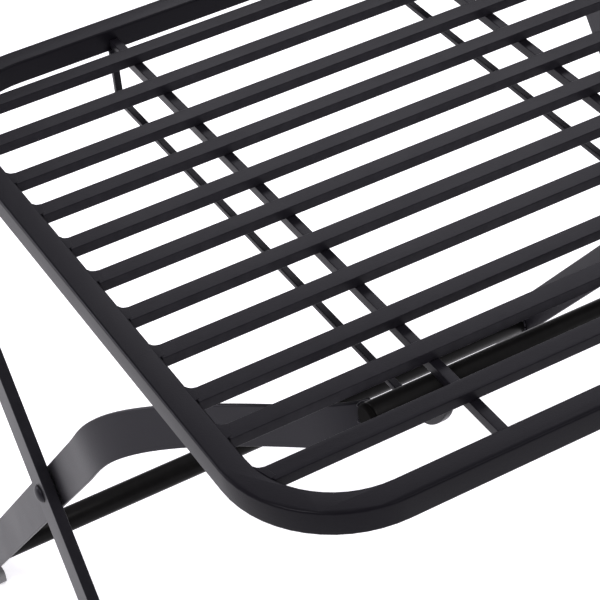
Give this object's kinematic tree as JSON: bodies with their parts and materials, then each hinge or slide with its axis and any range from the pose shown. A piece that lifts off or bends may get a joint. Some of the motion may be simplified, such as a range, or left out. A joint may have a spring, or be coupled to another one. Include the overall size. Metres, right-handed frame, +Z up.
{
  "type": "folding side table",
  "caption": "Folding side table with a slatted steel top on crossed flat-bar legs; a round bar slides in a slot under the top",
  "frame": {"origin": "centre of the bounding box on the floor, table standing open", "axes": "+X to the right along the slats, +Y to the back where the outer legs are hinged, +Z up"},
  "size_m": [0.5334, 0.601, 0.51],
  "materials": {
    "table_steel": "fine satin powder coat, near black with a faint violet cast",
    "bar_steel": "smooth black powder coat",
    "leg_steel": "satin powder coat, dark grey",
    "foot_plastic": "moulded grey plastic with a fine grain"
  },
  "bodies": {
    "tabletop": {"top_frame": "table_steel", "slat_01": "table_steel", "slat_02": "table_steel", "slat_03": "table_steel", "slat_04": "table_steel", "slat_05": "table_steel", "slat_06": "table_steel", "slat_07": "table_steel", "slat_08": "table_steel", "slat_09": "table_steel", "slat_10": "table_steel", "slat_11": "table_steel", "rail_left": "table_steel", "rail_right": "table_steel", "guide_left": "table_steel", "guide_right": "table_steel", "hinge_bracket_left": "table_steel", "hinge_bracket_right": "table_steel"},
    "outer_frame": {"outer_leg_left": "leg_steel", "outer_leg_right": "leg_steel", "outer_foot_left": "foot_plastic", "outer_foot_right": "foot_plastic", "hinge_pin_left": "leg_steel", "hinge_pin_right": "leg_steel", "scissor_rivet_left": "leg_steel", "scissor_rivet_right": "leg_steel"},
    "top_bar": {"inner_top_bar": "bar_steel", "top_bar_cap_left": "bar_steel", "top_bar_cap_right": "bar_steel"},
    "inner_frame": {"inner_leg_left": "leg_steel", "inner_leg_right": "leg_steel", "inner_foot_bar": "bar_steel", "inner_foot_left": "foot_plastic", "inner_foot_right": "foot_plastic", "scissor_rivet_tail_left": "leg_steel", "scissor_rivet_tail_right": "leg_steel"}
  },
  "joints": [
    {"name": "fold", "type": "hinge", "parent": "tabletop", "child": "outer_frame", "pos_m": [0, 0.20001, 0.4819], "axis": [1, 0, 0], "range_deg": [0, 106.2]},
    {"name": "bar_slide", "type": "slide", "parent": "tabletop", "child": "top_bar", "axis": [0, 1, 0], "range_m": [0, 0.3312]},
    {"name": "inner_turn", "type": "hinge", "parent": "top_bar", "child": "inner_frame", "pos_m": [0, -0.21649, 0.485], "axis": [1, 0, 0], "range_deg": [0, 22.8]}
  ],
  "couplings": [
    {"joint": "bar_slide", "follows": "fold", "m_per_rad": 0.17848},
    {"joint": "inner_turn", "follows": "fold", "ratio": 0.21419}
  ]
}
